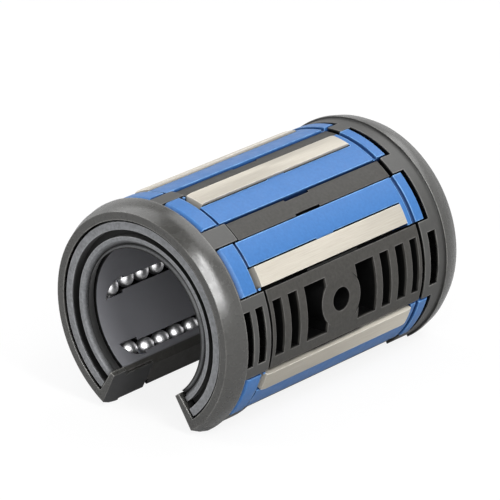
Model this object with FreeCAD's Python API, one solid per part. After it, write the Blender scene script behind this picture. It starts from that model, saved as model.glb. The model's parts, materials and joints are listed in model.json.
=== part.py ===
import FreeCAD, Part
import math
import os

# Open-type linear ball bushing. The bore axis is Y, the front end is at -Y and the opening faces -Z.
# Lengths are in millimetres. Angles are in degrees round the bore axis, from the top (+Z) towards +X.

# What the shaft, its support and the housing meet
shaft_diameter = 20.0
outside_diameter = 32.0
length = 45.0
opening_width = 10.8
opening_angle = 60.0

# Radial build-up, as steps from the shaft outwards or from the outside inwards
bore_clearance = 0.18
sleeve_wall = 0.75
panel_drop = 0.4
rib_drop = 0.65
cap_waist_drop = 0.3
cover_drop = 0.35
flange_drop = 0.2
fit_gap = 0.05

# End caps, with lengths and depths from the end face
front_cap_length = 7.7
rear_cap_length = 7.15
seam_gap = 0.5
seam_depth = 1.0
chamfer_length = 1.3
chamfer_rise = 0.65
crown_length = 1.3
crown_rise = 0.3
collar_length = 3.1
seal_seat_depth = 2.3
seal_rim_wall = 1.1
seal_seat_half_angle = 143.3

# Lip seals, as radial widths and depths from the end face
seal_gap_width = 0.3
seal_gap_depth = 1.0
seal_face_depth = 0.23
seal_groove_width = 1.0
seal_groove_shift = 0.275
seal_groove_depth = 1.6
seal_ring_width = 0.55
seal_ring_depth = 0.55
seal_valley_width = 0.5
seal_valley_depth = 1.2
seal_lip_depth = 0.65
seal_lip_flare = 0.7
seal_end_angle = 0.9

# Ball circuits: two straight rows joined by half turns, in one tilted plane
ball_diameter = 2.5
ball_pitch = 2.85
balls_in_turn = 2
track_clearance = 0.1
track_slope_angle = 45.0
return_rise = 1.15
front_turn_room = 3.4
rear_turn_room = 3.85

# Facets of a ball: more of them where a row shows in the bore
load_ball_meridians = 8
load_ball_bands = 4
inner_ball_meridians = 6
inner_ball_bands = 3

# Where the circuits lie: in mirrored pairs, or as one half of a pair, from the top or from a lip
left_pair_lip_angle = 38.7
top_circuit_angle = 3.0
right_pair_angle = 38.0
right_circuit_lip_angle = 5.3
row_angle = 24.9
cover_edge_angle = 5.1

# Steel bearing plates, bevelled at the ends, and the cage's finger beside each
plate_width = 2.74
plate_row_margin = 0.15
plate_shift = 0.35
plate_end_bevel = 0.6
plate_end_drop = 0.15
plate_side_gap = 0.2
plate_wall_gap = 0.55
plate_end_gap = 0.15
race_clearance = 0.02
race_foot_width = 2.0
race_foot_height = 0.95
finger_length = 9.6
finger_gap = 0.25
finger_drop = 0.1

# Covers over the return rows, set in from the collars of the end caps, and the notch beside each
cover_front_inset = 0.6
cover_rear_inset = 2.45
cover_side_gap = 0.25
front_flange_length = 2.8
rear_flange_length = 2.05
flange_chamfer = 0.5
groove_width = 0.6
groove_depth = 0.35
clip_length = 3.2
clip_gap = 0.02
window_front_gap = 0.2
window_rear_gap = 0.45
notch_length = 4.6
notch_width = 0.28

# Grille panels between two steel plates: blind slots, a fixing hole and its round boss.
# The slots are (start, end) places along the axis in the cage, and depths from the end face in a cap.
slot_margin_angle = 13.1
slot_depth = 4.0
cage_slots = [(-13.7, -12.0), (-10.8, -9.05), (-7.7, -3.7)]
cage_slots += [(2.15, 5.75), (6.93, 8.7), (10.0, 11.75), (12.9, 14.3)]
front_cap_slots = [(3.2, 4.6), (5.5, 6.9)]
rear_cap_slots = [(4.45, 6.05)]
hole_diameter = 3.2
hole_middle = -0.9
hole_depth = 3.42
boss_radius = 3.7
boss_recess = 0.28

# Edge of the cage along the opening, set back from the flank
cage_edge_angle = 5.0
cage_edge_depth = 1.2

# Radii, ends and the opening's throat
shaft_radius = shaft_diameter / 2
outside_radius = outside_diameter / 2
half_length = length / 2
bore_radius = shaft_radius + bore_clearance
sleeve_radius = bore_radius + sleeve_wall
crown_radius = outside_radius - crown_rise
rim_radius = crown_radius - chamfer_rise
panel_radius = outside_radius - panel_drop
rib_radius = outside_radius - rib_drop
cover_radius = outside_radius - cover_drop
flange_radius = outside_radius - flange_drop
collar_end = half_length - collar_length
sleeve_end = half_length - seal_seat_depth
cage_front = front_cap_length - half_length + fit_gap
cage_rear = half_length - rear_cap_length - fit_gap
seam_radius = rib_radius - seam_depth
seam_front = front_cap_length - half_length + seam_gap
seam_rear = half_length - rear_cap_length - seam_gap
beyond = outside_diameter
throat = opening_width / 2
throat_z = -math.sqrt(shaft_radius**2 - throat**2)
throat_angle = math.degrees(math.asin(throat / shaft_radius))

# The seal's groove lies a little outside the middle between its lip and its outer edge
seal_seat_radius = rim_radius - seal_rim_wall
seal_face_radius = seal_seat_radius - seal_gap_width
seal_groove_middle = (shaft_radius + seal_face_radius) / 2 + seal_groove_shift
seal_groove_outer = seal_groove_middle + seal_groove_width / 2
seal_groove_inner = seal_groove_outer - seal_groove_width

# A cover is as long as the caps leave room for, and the balls of a row share the length under it
cover_front = cover_front_inset - collar_end
cover_rear = collar_end - cover_rear_inset
window_front = cover_front - window_front_gap
window_rear = cover_rear + window_rear_gap
turn_front = cover_front + front_turn_room
turn_rear = cover_rear - rear_turn_room
circuit_middle = (turn_front + turn_rear) / 2
row_length = turn_rear - turn_front
balls_in_row = round(row_length / ball_pitch)
ball_spacing = row_length / balls_in_row
plate_front = turn_front + plate_row_margin + plate_shift
plate_rear = turn_rear - plate_row_margin + plate_shift

# The circuit's plane stands square to a line from the bore axis. Seen along the axis, with that line
# upright, the loaded row and the return row lie this far to its left and this high.
ball_radius = ball_diameter / 2
track_radius = ball_radius + track_clearance
turn_radius = balls_in_turn * ball_spacing / math.pi
load_radius = shaft_radius + ball_radius
return_radius = load_radius + return_rise
rise = (return_radius**2 - load_radius**2) / (2 * turn_radius)
return_offset = rise / 2 + turn_radius
load_offset = rise / 2 - turn_radius
loop_height = math.sqrt(load_radius**2 - load_offset**2)
row_tilt = math.degrees(math.atan2(load_offset, loop_height))
loop_angle = row_angle + row_tilt
loop_middle = -(load_offset + return_offset) / 2
floor_height = loop_height + track_radius

# Each circuit is the left (-1) or right (1) half of a pair. A grille panel lies where two loaded rows face.
left_pair_angle = left_pair_lip_angle + throat_angle - 180
right_circuit_angle = 180 - throat_angle - right_circuit_lip_angle
circuits = [
    (left_pair_angle, -1),
    (left_pair_angle, 1),
    (top_circuit_angle, -1),
    (right_pair_angle, -1),
    (right_pair_angle, 1),
    (right_circuit_angle, -1),
]
panels = [(one, two) for one, two in zip(circuits, circuits[1:]) if one[1] > 0 > two[1]]

ORIGIN = FreeCAD.Vector(0, 0, 0)
AXIS = FreeCAD.Vector(0, 1, 0)
ACROSS = FreeCAD.Vector(1, 0, 0)
UP = FreeCAD.Vector(0, 0, 1)


def polar(radius, angle, y=0.0):
    """The point at a radius and an angle from the top, in the cross-section at y."""
    turn = math.radians(angle)
    return FreeCAD.Vector(radius * math.sin(turn), y, radius * math.cos(turn))


def prism(corners, y_start, y_end):
    """A prism along the bore axis with (x, z) corners."""
    points = [FreeCAD.Vector(x, y_start, z) for x, z in corners]
    face = Part.Face(Part.makePolygon(points + points[:1]))
    return face.extrude(AXIS * (y_end - y_start))


def turned(profile, start=-180.0, stop=180.0):
    """A solid of revolution about the bore axis from (radius, y) points, between two angles."""
    points = [FreeCAD.Vector(0, y, radius) for radius, y in profile]
    face = Part.Face(Part.makePolygon(points + points[:1]))
    return face.rotated(ORIGIN, AXIS, start).revolve(ORIGIN, AXIS, stop - start)


def sector(start, stop, inner, outer, y_start, y_end):
    """A block of a ring between two angles, two radii and two cross-sections."""
    return turned([(inner, y_start), (outer, y_start), (outer, y_end), (inner, y_end)], start, stop)


def place(shape, circuit):
    """Takes a shape from the upright frame of a circuit's plane to where that circuit lies."""
    centre, side = circuit
    in_pair = shape.rotated(ORIGIN, AXIS, loop_angle)
    if side < 0:
        in_pair = in_pair.mirror(ORIGIN, ACROSS)
    return in_pair.rotated(ORIGIN, AXIS, centre)


def beside(tilt_angle, distance, height):
    """The x at a height of a line parallel to a tilted radius, a distance to the right of it."""
    tilt = math.radians(tilt_angle)
    return (distance - height * math.sin(tilt)) / math.cos(tilt)


def row_side(distance, height):
    """The same for the loaded row's radius."""
    return beside(row_tilt, distance, height)


def cover_side(distance, height):
    """The same for the radius at the cover's edge."""
    return beside(loop_angle - cover_edge_angle, distance, height)


def row_strip(left, right, y_start, y_end, low=floor_height):
    """A strip along the loaded row, between two distances from the row's radius, open to the outside."""
    corners = [(row_side(left, z), z) for z in (low, beyond)]
    corners += [(row_side(right, z), z) for z in (beyond, low)]
    return prism(corners, y_start, y_end)


def cover_strip(left, right, y_start, y_end):
    """A strip from the cover's edge to the far wall of the plate, open to the outside."""
    corners = [(cover_side(left, z), z) for z in (floor_height, beyond)]
    corners += [(row_side(right, z), z) for z in (beyond, floor_height)]
    return prism(corners, y_start, y_end)


def opening(edge_x, edge_z):
    """The wedge that is open for the shaft support, with the inner edge of its right flank at a point."""
    slope = math.tan(math.radians(opening_angle / 2))
    flank = [(throat + slope * (throat_z - z), z) for z in (throat_z - cage_edge_depth, -beyond)]
    right = [(edge_x, edge_z)] + flank
    left = [(-x, z) for x, z in reversed(right)]
    return prism([(0, 0)] + right + left, -beyond, beyond)


def cage_opening():
    """The opening between the cage's flanks, whose inner edges are set back from the shaft."""
    edge = polar(bore_radius, 180 - throat_angle - cage_edge_angle)
    return opening(edge.x, edge.z)


def track():
    """The ball track: rows with a sloping floor that holds the balls, joined by flat-floored half turns."""
    half = track_radius
    floor = half * math.tan(math.radians(track_slope_angle / 2))
    wall = half * math.tan(math.radians((90 - track_slope_angle) / 2))
    row_section = [(-floor, -half), (floor, -half), (half, -wall)]
    row_section += [(half, half), (-half, half), (-half, -wall)]
    turn_section = [(-half, -half), (half, -half), (half, half), (-half, half)]
    runs = []
    for offset in (load_offset, return_offset):
        corners = [(x - offset, z + loop_height) for x, z in row_section]
        runs.append(prism(corners, turn_front, turn_rear))
    for y, way in ((turn_front, -180), (turn_rear, 180)):
        points = [FreeCAD.Vector(x - load_offset, y, z + loop_height) for x, z in turn_section]
        face = Part.Face(Part.makePolygon(points + points[:1]))
        runs.append(face.revolve(FreeCAD.Vector(loop_middle, y, 0), UP, way))
    return runs[0].multiFuse(runs[1:]).removeSplitter()


def track_core():
    """All that lies inside the track's middle line, from the track's floor to the window's floor."""
    low = loop_height - track_radius
    height = floor_height - low
    corner = FreeCAD.Vector(loop_middle - turn_radius, turn_front, low)
    block = Part.makeBox(2 * turn_radius, row_length, height, corner)
    ends = [
        Part.makeCylinder(turn_radius, height, FreeCAD.Vector(loop_middle, y, low))
        for y in (turn_front, turn_rear)
    ]
    return block.multiFuse(ends).removeSplitter()


def island():
    """The post that the balls turn round."""
    return track_core().cut(track())


def window():
    """The pocket for a plate and its cover, with a notch beside the cover and a finger beside the plate."""
    half = plate_width / 2
    wall = half + plate_wall_gap
    pocket = cover_strip(0, wall, window_front, window_rear)
    notch_start = circuit_middle - notch_length / 2
    notch = cover_strip(-notch_width, 0, notch_start, notch_start + notch_length)
    finger_start = circuit_middle - finger_length / 2
    finger = row_strip(half + finger_gap, wall + plate_wall_gap, finger_start, finger_start + finger_length)
    top = Part.makeCylinder(rib_radius - finger_drop, length, AXIS * -half_length, AXIS)
    return pocket.fuse(notch).cut(finger.common(top)).removeSplitter()


def plate():
    """A steel bearing plate, crowned to the housing outside and grooved for its balls inside."""
    half = plate_width / 2
    bar = row_strip(-half, half, plate_front, plate_rear)
    end_radius = outside_radius - plate_end_drop
    crown = turned(
        [
            (0, plate_front),
            (end_radius, plate_front),
            (outside_radius, plate_front + plate_end_bevel),
            (outside_radius, plate_rear - plate_end_bevel),
            (end_radius, plate_rear),
            (0, plate_rear),
        ]
    )
    foot_half = race_foot_width / 2
    foot_low = load_radius + race_foot_height
    foot_sides = [(-foot_half, foot_low), (foot_half, foot_low)]
    foot_sides += [(foot_half, rib_radius), (-foot_half, rib_radius)]
    foot = prism(foot_sides, plate_front, plate_rear).rotated(ORIGIN, AXIS, -row_tilt)
    race_start = FreeCAD.Vector(-load_offset, -half_length, loop_height)
    race = Part.makeCylinder(ball_radius + race_clearance, length, race_start, AXIS)
    return bar.common(crown).fuse(foot).cut(race).removeSplitter()


def cover():
    """A moulded cover: it closes the return row and both turns, and frames the plate."""
    half = plate_width / 2
    wall = half + plate_wall_gap - cover_side_gap
    side = -half - plate_side_gap
    front_groove = cover_front + front_flange_length
    rear_groove = cover_rear - rear_flange_length
    groove_radius = cover_radius - groove_depth
    chamfer_radius = flange_radius - flange_chamfer
    crown = turned(
        [
            (0, cover_front),
            (chamfer_radius, cover_front),
            (flange_radius, cover_front + flange_chamfer),
            (flange_radius, front_groove),
            (groove_radius, front_groove),
            (groove_radius, front_groove + groove_width),
            (cover_radius, front_groove + groove_width),
            (cover_radius, rear_groove - groove_width),
            (groove_radius, rear_groove - groove_width),
            (groove_radius, rear_groove),
            (flange_radius, rear_groove),
            (flange_radius, cover_rear - flange_chamfer),
            (chamfer_radius, cover_rear),
            (0, cover_rear),
        ]
    )
    pockets = [
        row_strip(side, half, front_groove, plate_front, 0),
        row_strip(side, wall + plate_wall_gap, plate_front - plate_end_gap, plate_rear + plate_end_gap, 0),
    ]
    clip_start = circuit_middle - clip_length / 2
    clip = row_strip(side - clip_gap, -half - clip_gap, clip_start, clip_start + clip_length)
    blank = cover_strip(cover_side_gap, wall, cover_front, cover_rear)
    return blank.cut(pockets).fuse(clip).common(crown).removeSplitter()


def ball(meridians, bands):
    """A ball of flat facets between rings of latitude, with its poles towards the shaft and the plate."""

    def point(band, meridian):
        latitude = math.pi * (band / bands - 0.5)
        longitude = 2 * math.pi * meridian / meridians
        level = ball_radius * math.cos(latitude)
        height = ball_radius * math.sin(latitude)
        return FreeCAD.Vector(level * math.cos(longitude), level * math.sin(longitude), height)

    faces = []
    for band in range(bands):
        for meridian in range(meridians):
            corners = [
                point(band, meridian),
                point(band, meridian + 1),
                point(band + 1, meridian + 1),
                point(band + 1, meridian),
            ]
            if band == 0:
                corners.pop(1)
            if band == bands - 1:
                corners.pop(2)
            faces.append(Part.Face(Part.makePolygon(corners + corners[:1])))
    return Part.makeSolid(Part.makeShell(faces))


def ball_row(one_ball, offset):
    """The balls of one straight row."""
    balls = []
    for index in range(balls_in_row):
        y = turn_front + (index + 0.5) * ball_spacing
        balls.append(one_ball.translated(FreeCAD.Vector(-offset, y, loop_height)))
    return balls


def ball_turn(one_ball, y, way):
    """The balls in one half turn, on the front (-1) or rear (1) side of the rows."""
    balls = []
    for index in range(balls_in_turn):
        angle = math.pi * (index + 0.5) / balls_in_turn
        out = turn_radius * math.sin(angle)
        side = turn_radius * math.cos(angle)
        balls.append(one_ball.translated(FreeCAD.Vector(loop_middle + side, y + way * out, loop_height)))
    return balls


def panel_sides(panel):
    """The angles of the two loaded rows beside a grille panel."""
    return [centre + math.copysign(row_angle, side) for centre, side in panel]


def slots(spans):
    """The blind slots of every grille panel at the given (start, end) places along the axis."""
    cuts = []
    floor = panel_radius - slot_depth
    for panel in panels:
        first, last = panel_sides(panel)
        half = panel_radius * math.sin(math.radians((last - first) / 2 - slot_margin_angle))
        corners = [(-half, floor), (half, floor), (half, beyond), (-half, beyond)]
        for start, stop in spans:
            cuts.append(prism(corners, start, stop).rotated(ORIGIN, AXIS, (first + last) / 2))
    return cuts


def hole_pin(radius, floor):
    """A round peg along the fixing hole's axis, from a radius of the bushing outwards."""
    first, last = panel_sides(panels[-1])
    direction = polar(1, (first + last) / 2)
    return Part.makeCylinder(radius, beyond, direction * floor + AXIS * hole_middle, direction)


def end_cap(sign, cap_length, slot_depths):
    """An end cap at the front (-1) or rear (1), with its seal seat, opening, slots, windows and turns."""
    waist_radius = outside_radius - cap_waist_drop
    inner_radius = sleeve_radius + fit_gap
    outline = [
        (bore_radius, 0),
        (rim_radius, 0),
        (crown_radius, chamfer_length),
        (outside_radius, chamfer_length + crown_length),
        (outside_radius, collar_length),
        (waist_radius, collar_length),
        (waist_radius, cap_length),
        (inner_radius, cap_length),
        (inner_radius, seal_seat_depth),
        (bore_radius, seal_seat_depth),
    ]
    body = turned([(radius, sign * (half_length - depth)) for radius, depth in outline])
    seat_ends = sorted([sign * half_length, sign * sleeve_end])
    seat = sector(-seal_seat_half_angle, seal_seat_half_angle, 0, seal_seat_radius, *seat_ends)
    spans = [sorted(sign * (half_length - depth) for depth in span) for span in slot_depths]
    cuts = [seat, opening(throat, throat_z)] + slots(spans)
    cuts += [place(tool, circuit) for circuit in circuits for tool in (window(), track(), track_core())]
    return body.cut(cuts).removeSplitter()


def seal(sign):
    """A lip seal at the front (-1) or rear (1)."""
    back_depth = seal_seat_depth - fit_gap
    outline = [
        (seal_seat_radius - fit_gap, back_depth),
        (seal_seat_radius - fit_gap, seal_gap_depth),
        (seal_face_radius, seal_gap_depth),
        (seal_face_radius, seal_face_depth),
        (seal_groove_outer, seal_face_depth),
        (seal_groove_outer, seal_groove_depth),
        (seal_groove_inner, seal_groove_depth),
        (seal_groove_inner, seal_ring_depth),
        (seal_groove_inner - seal_ring_width, seal_ring_depth),
        (shaft_radius + seal_valley_width, seal_valley_depth),
        (shaft_radius, seal_lip_depth),
        (shaft_radius + seal_lip_flare, back_depth),
    ]
    profile = [(radius, sign * (half_length - depth)) for radius, depth in outline]
    half_angle = seal_seat_half_angle - seal_end_angle
    return turned(profile, -half_angle, half_angle)


def ball_cage():
    """The cage: bore sleeve, ribs and grille panels, with its tracks, windows, slots and fixing hole."""
    outline = [
        (0, -sleeve_end),
        (sleeve_radius, -sleeve_end),
        (sleeve_radius, cage_front),
        (seam_radius, cage_front),
        (seam_radius, seam_front),
        (rib_radius, seam_front),
        (rib_radius, seam_rear),
        (seam_radius, seam_rear),
        (seam_radius, cage_rear),
        (sleeve_radius, cage_rear),
        (sleeve_radius, sleeve_end),
        (0, sleeve_end),
    ]
    raised = [
        sector(*panel_sides(panel), seam_radius, panel_radius, seam_front, seam_rear)
        for panel in panels
    ]
    body = turned(outline).multiFuse(raised)
    boss = hole_pin(boss_radius, 0)
    boss_face = panel_radius - boss_recess
    cuts = [slot.cut(boss) for slot in slots(cage_slots)]
    cuts += [hole_pin(hole_diameter / 2, boss_face - hole_depth), hole_pin(boss_radius, boss_face)]
    cuts += [place(tool, circuit) for circuit in circuits for tool in (window(), track())]
    posts = [place(island(), circuit) for circuit in circuits]
    bore = Part.makeCylinder(bore_radius, length, AXIS * -half_length, AXIS)
    return body.cut(cuts).multiFuse(posts).cut([bore, cage_opening()]).removeSplitter()


def save(name, shape):
    """Writes one piece, or one group of like pieces, under its name."""
    shape.exportStep(os.path.join("parts", name + ".step"))


os.makedirs("parts", exist_ok=True)

save("ball_cage", ball_cage())
save("end_cap_front", end_cap(-1, front_cap_length, front_cap_slots))
save("end_cap_rear", end_cap(1, rear_cap_length, rear_cap_slots))
save("seal_front", seal(-1))
save("seal_rear", seal(1))

load_ball = ball(load_ball_meridians, load_ball_bands)
inner_ball = ball(inner_ball_meridians, inner_ball_bands)
ball_groups = {
    "load_balls": ball_row(load_ball, load_offset),
    "return_balls": ball_row(inner_ball, return_offset),
    "front_turn_balls": ball_turn(inner_ball, turn_front, -1),
    "rear_turn_balls": ball_turn(inner_ball, turn_rear, 1),
}
for number, circuit in enumerate(circuits, start=1):
    save(f"load_plate_{number}", place(plate(), circuit))
    save(f"return_cover_{number}", place(cover(), circuit))
    for name, balls in ball_groups.items():
        save(f"{name}_{number}", Part.makeCompound([place(one, circuit) for one in balls]))
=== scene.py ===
import json
import math

import bmesh
import bpy
from mathutils import Matrix, Vector

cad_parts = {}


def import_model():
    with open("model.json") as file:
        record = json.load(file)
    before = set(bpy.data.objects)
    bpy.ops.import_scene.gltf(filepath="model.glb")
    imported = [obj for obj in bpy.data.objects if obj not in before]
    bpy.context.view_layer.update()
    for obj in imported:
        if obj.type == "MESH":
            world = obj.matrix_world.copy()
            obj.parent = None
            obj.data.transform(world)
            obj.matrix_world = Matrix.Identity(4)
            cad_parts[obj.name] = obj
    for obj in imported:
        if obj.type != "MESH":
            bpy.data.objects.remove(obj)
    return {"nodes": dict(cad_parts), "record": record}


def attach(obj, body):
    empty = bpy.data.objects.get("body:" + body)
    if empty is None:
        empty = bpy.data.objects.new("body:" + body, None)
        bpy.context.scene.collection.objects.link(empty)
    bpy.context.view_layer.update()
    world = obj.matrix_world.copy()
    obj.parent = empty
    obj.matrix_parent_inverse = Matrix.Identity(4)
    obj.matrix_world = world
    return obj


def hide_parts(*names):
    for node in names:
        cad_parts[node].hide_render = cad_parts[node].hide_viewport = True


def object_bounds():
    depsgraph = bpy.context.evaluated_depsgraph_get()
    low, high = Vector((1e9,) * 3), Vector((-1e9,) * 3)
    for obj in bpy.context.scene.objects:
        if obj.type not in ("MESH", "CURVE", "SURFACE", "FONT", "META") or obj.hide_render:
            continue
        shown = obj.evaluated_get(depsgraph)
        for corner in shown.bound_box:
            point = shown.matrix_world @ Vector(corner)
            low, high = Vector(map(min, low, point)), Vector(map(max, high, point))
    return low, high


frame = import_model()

cad_low, cad_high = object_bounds()
MILLIMETRE = 0.001

# The photo's camera: angles in degrees, places in metres, lens and sensor in millimetres
CAMERA_AZIMUTH = 44.012
CAMERA_ELEVATION = 20.556
CAMERA_ROLL = -3.276
CAMERA_DISTANCE = 0.51393
CAMERA_AIM_RIGHT = -0.001225
CAMERA_AIM_UP = 0.002948
CAMERA_NEAR = 0.01
CAMERA_FAR = 20.0
CAMERA_LENS = 280.36
CAMERA_SENSOR = 36.0

# The studio: its size in metres, the floor's tones, and how white floor and walls are to the eye
WHITE = (1, 1, 1, 1)
FLOOR_SIZE = 6.0
FLOOR_ROUGHNESS = 0.9
FLOOR_AS_LIGHT = (0.45, 0.45, 0.45, 1)
FLOOR_AS_SEEN = (0.7, 0.7, 0.7, 1)
FLOOR_WHITE = 0.85
FLOOR_MIRRORED = 0.1
WORLD_LIGHT = 0.2

# The white walls end, and the darker ceiling begins, at these sines of the elevation
WALL_TOP = 0.5
CEILING = 0.85
CEILING_WHITE = 0.15

# The bushing in millimetres: radii from the bore axis, lengths from the middle
OUTSIDE = cad_high.z / MILLIMETRE
END = cad_high.y / MILLIMETRE
SHAFT_RADIUS = 10.0
BORE_WALL = SHAFT_RADIUS + 0.4
WAIST_RADIUS = OUTSIDE - 0.4
COLLAR_START = END - 3.1
LIP_END = END - 0.65
SLOT_BOTTOM = -7.5

# The opening's flanks, which lean out from its middle
OPENING_WIDTH = 10.8
FLANK_LEAN = math.radians(30)
FLANK_SKIN = 0.15
THROAT_HEIGHT = math.sqrt(SHAFT_RADIUS**2 - (OPENING_WIDTH / 2) ** 2)
FLANK_SHIFT = OPENING_WIDTH / 2 - THROAT_HEIGHT * math.tan(FLANK_LEAN)

# How wide a change of colour fades, in millimetres
DEPTH_FADE = 0.12
LINING_FADE = 0.1

# A patch is at its darkest and its lightest at these values of the noise
PATCH_LOW = 0.3
PATCH_HIGH = 0.7

# Edges painted lighter, as wear and as a painted highlight: how far to look for thin material, what counts
# as thin, and how patchy the lightening is
EDGE_REACH = 0.18
EDGE_FLAT = 0.92
EDGE_SHARP = 0.55
WEAR_AND_HIGHLIGHT_PER_MM = 0.6
WEAR_AND_HIGHLIGHT_LOW = 0.35
WEAR_AND_HIGHLIGHT_HIGH = 0.6
WEAR_AND_HIGHLIGHT_LEAST = 0.3
OCCLUSION_SAMPLES = 8
BEVEL_SAMPLES = 6

BLACK = (0.001, 0.001, 0.001)
# Grinding stretches the noise along the plates
GROUND = (1.0, 0.03, 1.0)

# Corners closer than this are one, and faces that meet at less than this angle shade smooth
WELD = 0.001 * MILLIMETRE
SMOOTH_LIMIT = math.radians(24)
# How often a ball's faces are divided, in the rows that show in the bore and in the others
SHOWN_BALLS = 4
HIDDEN_BALLS = 3


def smoothing():
    """A modifier group that joins the split corners of a mesh and shades its curved faces smooth."""
    group = bpy.data.node_groups.new("smooth_curves", "GeometryNodeTree")
    group.is_modifier = True
    for direction in ("INPUT", "OUTPUT"):
        group.interface.new_socket("Geometry", in_out=direction, socket_type="NodeSocketGeometry")
    start = group.nodes.new("NodeGroupInput")
    weld = group.nodes.new("GeometryNodeMergeByDistance")
    weld.inputs["Distance"].default_value = WELD
    faces = group.nodes.new("GeometryNodeSetShadeSmooth")
    faces.domain = "FACE"
    angle = group.nodes.new("GeometryNodeInputMeshEdgeAngle")
    sharp = group.nodes.new("FunctionNodeCompare")
    sharp.operation = "GREATER_THAN"
    sharp.inputs["B"].default_value = SMOOTH_LIMIT
    edges = group.nodes.new("GeometryNodeSetShadeSmooth")
    edges.domain = "EDGE"
    edges.inputs["Shade Smooth"].default_value = False
    end = group.nodes.new("NodeGroupOutput")
    steps = (start, weld, faces, edges, end)
    for before, after in zip(steps, steps[1:]):
        group.links.new(before.outputs["Geometry"], after.inputs["Geometry"])
    group.links.new(angle.outputs["Unsigned Angle"], sharp.inputs["A"])
    group.links.new(sharp.outputs["Result"], edges.inputs["Selection"])
    return group


class Nodes:
    """Short ways to add and join the nodes of one shader tree."""

    def __init__(self, tree):
        self.tree = tree

    def feed(self, socket, value):
        """Links what comes from a node, and sets what is constant."""
        if isinstance(value, bpy.types.NodeSocket):
            self.tree.links.new(value, socket)
        else:
            socket.default_value = value

    def add(self, kind, **inputs):
        made = self.tree.nodes.new(kind)
        for key, value in inputs.items():
            self.feed(made.inputs[key.replace("_", " ")], value)
        return made

    def compute(self, operation, first, second=0.0):
        made = self.tree.nodes.new("ShaderNodeMath")
        made.operation = operation
        self.feed(made.inputs[0], first)
        self.feed(made.inputs[1], second)
        return made.outputs["Value"]

    def product(self, first, *others):
        for other in others:
            first = self.compute("MULTIPLY", first, other)
        return first

    def between(self, value, low, high, to_low=0.0, to_high=1.0):
        """Maps the range from low to high to another, and holds its ends."""
        made = self.add("ShaderNodeMapRange", Value=value, From_Min=low, From_Max=high)
        self.feed(made.inputs["To Min"], to_low)
        self.feed(made.inputs["To Max"], to_high)
        return made.outputs["Result"]

    def mix(self, factor, first, second, kind="RGBA"):
        made = self.tree.nodes.new("ShaderNodeMix")
        made.data_type = kind
        self.feed(made.inputs["Factor"], factor)
        self.feed(made.inputs["A"], first)
        self.feed(made.inputs["B"], second)
        return made.outputs["Result"]

    def mix_shaders(self, factor, first, second):
        made = self.add("ShaderNodeMixShader", Fac=factor)
        self.feed(made.inputs[1], first)
        self.feed(made.inputs[2], second)
        return made.outputs["Shader"]

    def white_where_seen(self, to_camera, in_mirrors):
        """How far a background is plain white: for the camera and for reflections, but not as light."""
        ray = self.add("ShaderNodeLightPath").outputs
        mirrored = self.compute("MAXIMUM", ray["Is Glossy Ray"], ray["Is Transmission Ray"])
        seen = self.product(ray["Is Camera Ray"], to_camera)
        return self.compute("MAXIMUM", seen, self.product(mirrored, in_mirrors))


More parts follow.
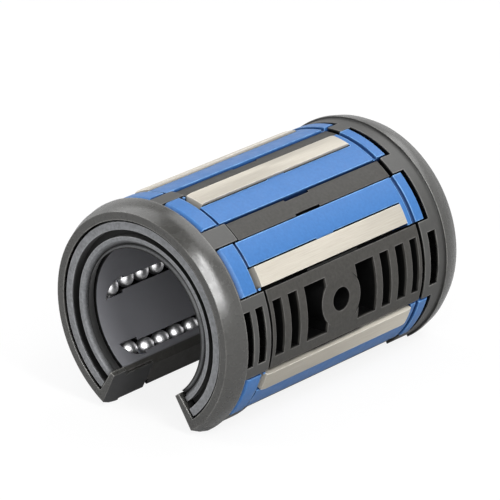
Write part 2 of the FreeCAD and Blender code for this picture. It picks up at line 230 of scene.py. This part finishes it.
class Surface(Nodes):
    """A procedural material: its colour, roughness and normal are built up step by step, then finished."""

    def __init__(self, name, colour, roughness):
        self.material = bpy.data.materials.new(name)
        self.material.use_nodes = True
        super().__init__(self.material.node_tree)
        self.shader = self.tree.nodes["Principled BSDF"]
        self.shader.inputs["Base Color"].default_value = (*colour, 1)
        self.shader.inputs["Roughness"].default_value = roughness
        self.colour = (*colour, 1)
        self.roughness = roughness
        self.normal = None
        self.place = self.add("ShaderNodeTexCoord").outputs["Object"]
        self.axes = self.add("ShaderNodeSeparateXYZ", Vector=self.place).outputs

    def finish(self, **constants):
        """Joins the steps to the shader, and sets what is the same all over the surface."""
        self.feed(self.shader.inputs["Base Color"], self.colour)
        self.feed(self.shader.inputs["Roughness"], self.roughness)
        self.feed(self.shader.inputs["Normal"], self.normal)
        for key, value in constants.items():
            self.shader.inputs[key.replace("_", " ")].default_value = value
        return self.material

    def paint(self, share, colour):
        self.colour = self.mix(share, self.colour, (*colour, 1))

    def dull(self, share, roughness):
        self.roughness = self.mix(share, self.roughness, roughness, "FLOAT")

    def noise(self, per_mm, stretch=(1, 1, 1), detail=3.0):
        scaled = self.add("ShaderNodeMapping", Vector=self.place, Scale=stretch).outputs["Vector"]
        made = self.add("ShaderNodeTexNoise", Vector=scaled, Scale=per_mm / MILLIMETRE, Detail=detail)
        return made.outputs["Fac"]

    def nearness(self, reach_mm, inside):
        """How open a point is to the air about it, or inside to the body of its piece."""
        made = self.add("ShaderNodeAmbientOcclusion", Distance=reach_mm * MILLIMETRE)
        made.samples = OCCLUSION_SAMPLES
        made.inside = inside
        return made.outputs["AO"]

    def radius(self):
        """The distance from the bore axis."""
        x_squared = self.product(self.axes["X"], self.axes["X"])
        z_squared = self.product(self.axes["Z"], self.axes["Z"])
        return self.compute("SQRT", self.compute("ADD", x_squared, z_squared))

    def along(self):
        """The distance from the middle of the length."""
        return self.compute("ABSOLUTE", self.axes["Y"])

    def fades(self, value, start_mm, stop_mm):
        """A share that grows from 0 to 1 between two places."""
        return self.between(value, start_mm * MILLIMETRE, stop_mm * MILLIMETRE)

    def mottle(self, per_mm, spread, stretch=(1, 1, 1)):
        """Lighter and darker patches in the colour."""
        patches = self.between(self.noise(per_mm, stretch), PATCH_LOW, PATCH_HIGH)
        dark = (*(c * (1 - spread) for c in self.colour[:3]), 1)
        light = (*(c * (1 + spread) for c in self.colour[:3]), 1)
        self.colour = self.mix(patches, dark, light)

    def uneven(self, per_mm, spread, stretch=(1, 1, 1)):
        """Duller and glossier patches."""
        glossy, dull = self.roughness - spread, self.roughness + spread
        self.roughness = self.between(self.noise(per_mm, stretch), PATCH_LOW, PATCH_HIGH, glossy, dull)

    def edges(self, radius_mm, wear_and_highlight_colour, wear_and_highlight):
        """Rounds the edges, and paints the outer ones lighter, as wear and as a painted highlight."""
        rounded = self.add("ShaderNodeBevel", Radius=radius_mm * MILLIMETRE)
        rounded.samples = BEVEL_SAMPLES
        self.normal = rounded.outputs["Normal"]
        edge = self.between(self.nearness(EDGE_REACH, True), EDGE_FLAT, EDGE_SHARP)
        patches = self.between(self.noise(WEAR_AND_HIGHLIGHT_PER_MM), WEAR_AND_HIGHLIGHT_LOW, WEAR_AND_HIGHLIGHT_HIGH, WEAR_AND_HIGHLIGHT_LEAST * wear_and_highlight, wear_and_highlight)
        # paints the outer edges lighter: part wear, part painted highlight
        self.paint(self.product(edge, patches), wear_and_highlight_colour)

    def grain(self, per_mm, height_mm, strength, stretch=(1, 1, 1)):
        """A fine bump over the rounded edges."""
        bump = self.add("ShaderNodeBump", Strength=strength, Distance=height_mm * MILLIMETRE)
        self.feed(bump.inputs["Height"], self.noise(per_mm, stretch, detail=2.0))
        self.feed(bump.inputs["Normal"], self.normal)
        self.normal = bump.outputs["Normal"]

    def paint_crevice_shade(self, reach_mm, closed, clear, shade):
        """Darkens what lies in a gap, groove or slot, from clear to nearly closed: painted shade."""
        self.paint(self.between(self.nearness(reach_mm, False), clear, closed), shade)

    def paint_bore_light(self, radius_mm, colour):
        """Another colour inside a radius; here painted light, which makes the bore wall paler than the rest
        of the cage.
        """
        self.paint(self.fades(self.radius(), radius_mm, radius_mm - LINING_FADE), colour)

    def paint_depth_shade(self, inner_mm, outer_mm, low_mm, end_mm, shade):
        """Darkens the walls of slots and holes, as painted shade: between two radii, above a height and
        short of the ends.
        """
        radius = self.radius()
        share = self.product(
            self.fades(radius, outer_mm, outer_mm - DEPTH_FADE),
            self.fades(radius, inner_mm, inner_mm + DEPTH_FADE),
            self.fades(self.axes["Z"], low_mm, low_mm + DEPTH_FADE),
            self.fades(self.along(), end_mm, end_mm - DEPTH_FADE),
        )
        self.paint(share, shade)

    def waist(self, end_mm, radius_mm, darker, roughness):
        """Darkens and dulls the outside short of the end collars."""
        share = self.product(
            self.fades(self.along(), end_mm + LINING_FADE / 2, end_mm - LINING_FADE / 2),
            self.fades(self.radius(), radius_mm - LINING_FADE, radius_mm),
        )
        self.paint(self.product(share, darker), BLACK)
        self.dull(share, roughness)

    def paint_lip_shadow(self, tip_mm, tip_end_mm, slope, shade):
        """Darkens the back of a seal's lip, as a painted shadow: a cone that widens from the lip's tip
        towards the middle.
        """
        behind = self.compute("SUBTRACT", tip_end_mm * MILLIMETRE, self.along())
        above = self.compute("SUBTRACT", self.radius(), self.product(behind, slope))
        self.paint(self.fades(above, tip_mm + DEPTH_FADE, tip_mm + DEPTH_FADE / 3), shade)

    def paint_flank_shade(self, shade, roughness):
        """Darkens the sides of the opening as painted shade, and dulls them."""
        across = self.compute("ABSOLUTE", self.axes["X"])
        lean = self.product(self.axes["Z"], math.tan(FLANK_LEAN))
        share = self.fades(self.compute("ADD", across, lean), FLANK_SHIFT + FLANK_SKIN, FLANK_SHIFT)
        self.paint(share, shade)
        self.dull(share, roughness)


def moulded(name, colour, patches, roughness, edge_mm, wear_and_highlight_colour, wear_and_highlight):
    """Moulded plastic or rubber with a fine eroded texture."""
    surface = Surface(name, colour, roughness)
    surface.mottle(per_mm=2.5, spread=patches)
    surface.uneven(per_mm=0.8, spread=0.05)
    # outer edges painted lighter, as wear and as a painted highlight
    surface.edges(edge_mm, wear_and_highlight_colour, wear_and_highlight)
    surface.grain(per_mm=6.0, height_mm=0.012, strength=0.6)
    return surface


def cap_plastic():
    """Dark grey plastic, satin on the collars and dull on the waist, with painted shade in its gaps, slots
    and the sides of the opening.
    """
    surface = moulded(
        "cap_plastic",
        colour=(0.034, 0.0335, 0.031),
        patches=0.12,
        roughness=0.27,
        edge_mm=0.15,
        wear_and_highlight_colour=(0.26, 0.255, 0.24),
        wear_and_highlight=0.75,
    )
    surface.waist(COLLAR_START, WAIST_RADIUS, darker=0.3, roughness=0.52)
    # painted shade in gaps and grooves
    surface.paint_crevice_shade(reach_mm=1.5, closed=0.4, clear=0.85, shade=BLACK)
    # painted shade: the walls of slots and holes black
    surface.paint_depth_shade(
        inner_mm=SHAFT_RADIUS + 1.2,
        outer_mm=OUTSIDE - 0.5,
        low_mm=SLOT_BOTTOM,
        end_mm=COLLAR_START + 0.3,
        shade=BLACK,
    )
    # painted shade on the sides of the opening, which are also made duller
    surface.paint_flank_shade(shade=(0.01, 0.01, 0.011), roughness=0.8)
    return surface.finish(Specular_IOR_Level=0.75)


def cage_plastic():
    """Black plastic, with painted light that makes the bore wall paler and painted shade in its gaps, slots
    and holes.
    """
    surface = moulded(
        "cage_plastic",
        colour=(0.036, 0.0345, 0.0315),
        patches=0.16,
        roughness=0.48,
        edge_mm=0.13,
        wear_and_highlight_colour=(0.16, 0.155, 0.15),
        wear_and_highlight=0.5,
    )
    # painted light: the bore wall painted paler than the rest of the cage
    surface.paint_bore_light(BORE_WALL, colour=(0.13, 0.131, 0.142))
    # painted shade in gaps and grooves
    surface.paint_crevice_shade(reach_mm=1.5, closed=0.4, clear=0.85, shade=BLACK)
    # painted shade: the walls of slots and holes black
    surface.paint_depth_shade(
        inner_mm=BORE_WALL + 0.2,
        outer_mm=OUTSIDE - 0.7,
        low_mm=SLOT_BOTTOM,
        end_mm=END - 2.0,
        shade=BLACK,
    )
    return surface.finish(Specular_IOR_Level=0.25)


def cover_plastic():
    """Blue plastic, with painted shade in its gaps and grooves."""
    surface = moulded(
        "cover_plastic",
        colour=(0.032, 0.12, 0.315),
        patches=0.08,
        roughness=0.4,
        edge_mm=0.3,
        wear_and_highlight_colour=(0.26, 0.5, 0.85),
        wear_and_highlight=0.75,
    )
    # painted shade in gaps and grooves, dark blue
    surface.paint_crevice_shade(reach_mm=1.0, closed=0.35, clear=0.85, shade=(0.006, 0.022, 0.085))
    return surface.finish(Specular_IOR_Level=0.28)


def seal_rubber():
    """Grey rubber, with painted shade that makes its grooves and the back of its lip black."""
    surface = moulded(
        "seal_rubber",
        colour=(0.155, 0.159, 0.167),
        patches=0.25,
        roughness=0.5,
        edge_mm=0.12,
        wear_and_highlight_colour=(0.36, 0.365, 0.375),
        wear_and_highlight=0.7,
    )
    # painted shade in its grooves
    surface.paint_crevice_shade(reach_mm=1.8, closed=0.5, clear=0.9, shade=BLACK)
    # painted shade: the deep groove and the gap round the seal black
    surface.paint_depth_shade(
        inner_mm=SHAFT_RADIUS + 1.65,
        outer_mm=OUTSIDE - 1.0,
        low_mm=-OUTSIDE,
        end_mm=END - 0.4,
        shade=BLACK,
    )
    # painted shadow behind the lip
    surface.paint_lip_shadow(SHAFT_RADIUS, LIP_END, slope=0.44, shade=(0.006, 0.006, 0.006))
    return surface.finish(Specular_IOR_Level=0.3, Sheen_Weight=0.08, Sheen_Roughness=0.5)


def plate_steel():
    """Hardened steel, ground along its length, with painted shade in the gaps at its sides and ends."""
    surface = Surface("plate_steel", colour=(0.48, 0.454, 0.404), roughness=0.82)
    surface.mottle(per_mm=9.0, spread=0.035, stretch=GROUND)
    surface.uneven(per_mm=12.0, spread=0.05, stretch=GROUND)
    # edges painted lighter, as wear and as a painted highlight
    surface.edges(radius_mm=0.13, wear_and_highlight_colour=(0.75, 0.73, 0.69), wear_and_highlight=0.5)
    surface.grain(per_mm=14.0, height_mm=0.002, strength=0.4, stretch=GROUND)
    # painted shade in the gaps round the plate
    surface.paint_crevice_shade(reach_mm=0.8, closed=0.35, clear=0.75, shade=(0.03, 0.03, 0.035))
    return surface.finish(Metallic=1.0, Anisotropic=0.3)


def ball_steel():
    """Polished bearing steel."""
    surface = Surface("ball_steel", colour=(0.9, 0.9, 0.91), roughness=0.4)
    surface.mottle(per_mm=1.2, spread=0.04)
    surface.uneven(per_mm=2.5, spread=0.03)
    surface.edges(radius_mm=0.05, wear_and_highlight_colour=(0.9, 0.9, 0.9), wear_and_highlight=0.1)
    surface.grain(per_mm=8.0, height_mm=0.002, strength=0.3)
    return surface.finish(Metallic=1.0)


MATERIALS = {
    "cap_plastic": cap_plastic(),
    "cage_plastic": cage_plastic(),
    "cover_plastic": cover_plastic(),
    "seal_rubber": seal_rubber(),
    "plate_steel": plate_steel(),
    "ball_steel": ball_steel(),
}


def clothe(thing, slot):
    """Gives a piece the material of its slot."""
    thing.data.materials.clear()
    thing.data.materials.append(MATERIALS[slot])


slots = {piece["node"]: piece["material_slot"] for piece in frame["record"]["subparts"]}
smooth_curves = smoothing()
for name, thing in frame["nodes"].items():
    clothe(thing, slots[name])
    thing.modifiers.new("smooth_curves", "NODES").node_group = smooth_curves


def ball_centres(mesh):
    """The centre and radius of each separate ball in a mesh."""
    parts = bmesh.new()
    parts.from_mesh(mesh)
    bmesh.ops.remove_doubles(parts, verts=parts.verts, dist=WELD)
    waiting = set(parts.verts)
    found = []
    while waiting:
        group = set()
        edge_of_group = [waiting.pop()]
        while edge_of_group:
            corner = edge_of_group.pop()
            group.add(corner)
            near = [edge.other_vert(corner) for edge in corner.link_edges]
            fresh = [other for other in near if other in waiting]
            waiting.difference_update(fresh)
            edge_of_group.extend(fresh)
        middle = sum((corner.co for corner in group), Vector()) / len(group)
        found.append((middle, max((corner.co - middle).length for corner in group)))
    parts.free()
    return sorted(found, key=lambda ball: tuple(ball[0]))


def round_balls(node, body):
    """Polished round balls in the place of a node's faceted ones."""
    shape = bmesh.new()
    fineness = SHOWN_BALLS if node.startswith("load") else HIDDEN_BALLS
    for middle, radius in ball_centres(frame["nodes"][node].data):
        where = Matrix.Translation(middle)
        bmesh.ops.create_icosphere(shape, subdivisions=fineness, radius=radius, matrix=where)
    for face in shape.faces:
        face.smooth = True
    mesh = bpy.data.meshes.new(f"round_{node}")
    shape.to_mesh(mesh)
    shape.free()
    balls = bpy.data.objects.new(f"round_{node}", mesh)
    bpy.context.scene.collection.objects.link(balls)
    clothe(balls, slots[node])
    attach(balls, body)
    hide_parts(node)


for body, nodes in frame["record"]["behaviour"]["bodies"].items():
    for node in nodes:
        if slots[node] == "ball_steel":
            round_balls(node, body)


def floor():
    """A pale floor that stays white and keeps a soft shadow."""
    bpy.ops.mesh.primitive_plane_add(size=FLOOR_SIZE, location=(0, 0, cad_low.z))
    plane = bpy.context.object
    plane.name = "studio_floor"
    material = bpy.data.materials.new("studio_floor")
    material.use_nodes = True
    made = Nodes(material.node_tree)
    shader = made.tree.nodes["Principled BSDF"]
    shader.inputs["Roughness"].default_value = FLOOR_ROUGHNESS
    shader.inputs["Specular IOR Level"].default_value = 0.0
    seen = made.add("ShaderNodeLightPath").outputs["Is Camera Ray"]
    made.feed(shader.inputs["Base Color"], made.mix(seen, FLOOR_AS_LIGHT, FLOOR_AS_SEEN))
    glow = made.add("ShaderNodeEmission", Color=WHITE).outputs["Emission"]
    white = made.white_where_seen(to_camera=FLOOR_WHITE, in_mirrors=FLOOR_MIRRORED)
    both = made.mix_shaders(white, shader.outputs["BSDF"], glow)
    made.feed(made.tree.nodes["Material Output"].inputs["Surface"], both)
    plane.data.materials.append(material)


def world():
    """A white studio with a darker ceiling to the eye, soft grey as light."""
    studio = bpy.data.worlds.new("studio")
    studio.use_nodes = True
    bpy.context.scene.world = studio
    made = Nodes(studio.node_tree)
    plain = made.tree.nodes["Background"]
    plain.inputs["Color"].default_value = WHITE
    plain.inputs["Strength"].default_value = WORLD_LIGHT
    way = made.add("ShaderNodeTexCoord").outputs["Generated"]
    height = made.add("ShaderNodeSeparateXYZ", Vector=way).outputs["Z"]
    walls = made.between(height, WALL_TOP, CEILING, to_low=1.0, to_high=CEILING_WHITE)
    bright = made.add("ShaderNodeBackground", Color=WHITE, Strength=walls)
    white = made.white_where_seen(to_camera=1.0, in_mirrors=1.0)
    both = made.mix_shaders(white, plain.outputs["Background"], bright.outputs["Background"])
    made.feed(made.tree.nodes["World Output"].inputs["Surface"], both)


def towards(azimuth, elevation):
    """The direction to a place round the object, in degrees. Azimuth 0 is in front of it, at -Y."""
    a, e = math.radians(azimuth), math.radians(elevation)
    return Vector((math.sin(a) * math.cos(e), -math.cos(a) * math.cos(e), math.sin(e)))


def softbox(name, azimuth, elevation, distance, width, height, power):
    """An upright area light that looks at the object's middle, in degrees, metres and watts."""
    back = towards(azimuth, elevation)
    light = bpy.data.lights.new(name, "AREA")
    light.shape = "RECTANGLE"
    light.size = width
    light.size_y = height
    light.energy = power
    lamp = bpy.data.objects.new(name, light)
    lamp.location = back * distance
    lamp.rotation_mode = "QUATERNION"
    lamp.rotation_quaternion = back.to_track_quat("Z", "Y")
    bpy.context.scene.collection.objects.link(lamp)


def camera():
    """The photo's view."""
    back = towards(CAMERA_AZIMUTH, CAMERA_ELEVATION)
    right = towards(CAMERA_AZIMUTH + 90, 0)
    up = back.cross(right)
    roll = math.radians(CAMERA_ROLL)
    turned_right = right * math.cos(roll) + up * math.sin(roll)
    turned_up = up * math.cos(roll) - right * math.sin(roll)
    lens = bpy.data.cameras.new("photo_camera")
    lens.lens = CAMERA_LENS
    lens.sensor_width = CAMERA_SENSOR
    lens.clip_start = CAMERA_NEAR
    lens.clip_end = CAMERA_FAR
    made = bpy.data.objects.new("photo_camera", lens)
    made.rotation_mode = "QUATERNION"
    axes = Matrix((turned_right, turned_up, back)).transposed()
    made.rotation_quaternion = axes.to_quaternion()
    made.location = back * CAMERA_DISTANCE + turned_right * CAMERA_AIM_RIGHT + turned_up * CAMERA_AIM_UP
    bpy.context.scene.collection.objects.link(made)
    bpy.context.scene.camera = made


floor()
world()
softbox("front_light", azimuth=38, elevation=27, distance=1.0, width=0.85, height=0.85, power=9.0)
softbox("side_light", azimuth=77, elevation=38, distance=0.9, width=0.16, height=0.8, power=7.5)
softbox("back_light", azimuth=170, elevation=52, distance=0.9, width=0.8, height=0.8, power=4.5)
softbox("left_light", azimuth=285, elevation=48, distance=0.9, width=0.8, height=0.8, power=4.5)
camera()
bpy.context.scene.view_settings.view_transform = "Standard"
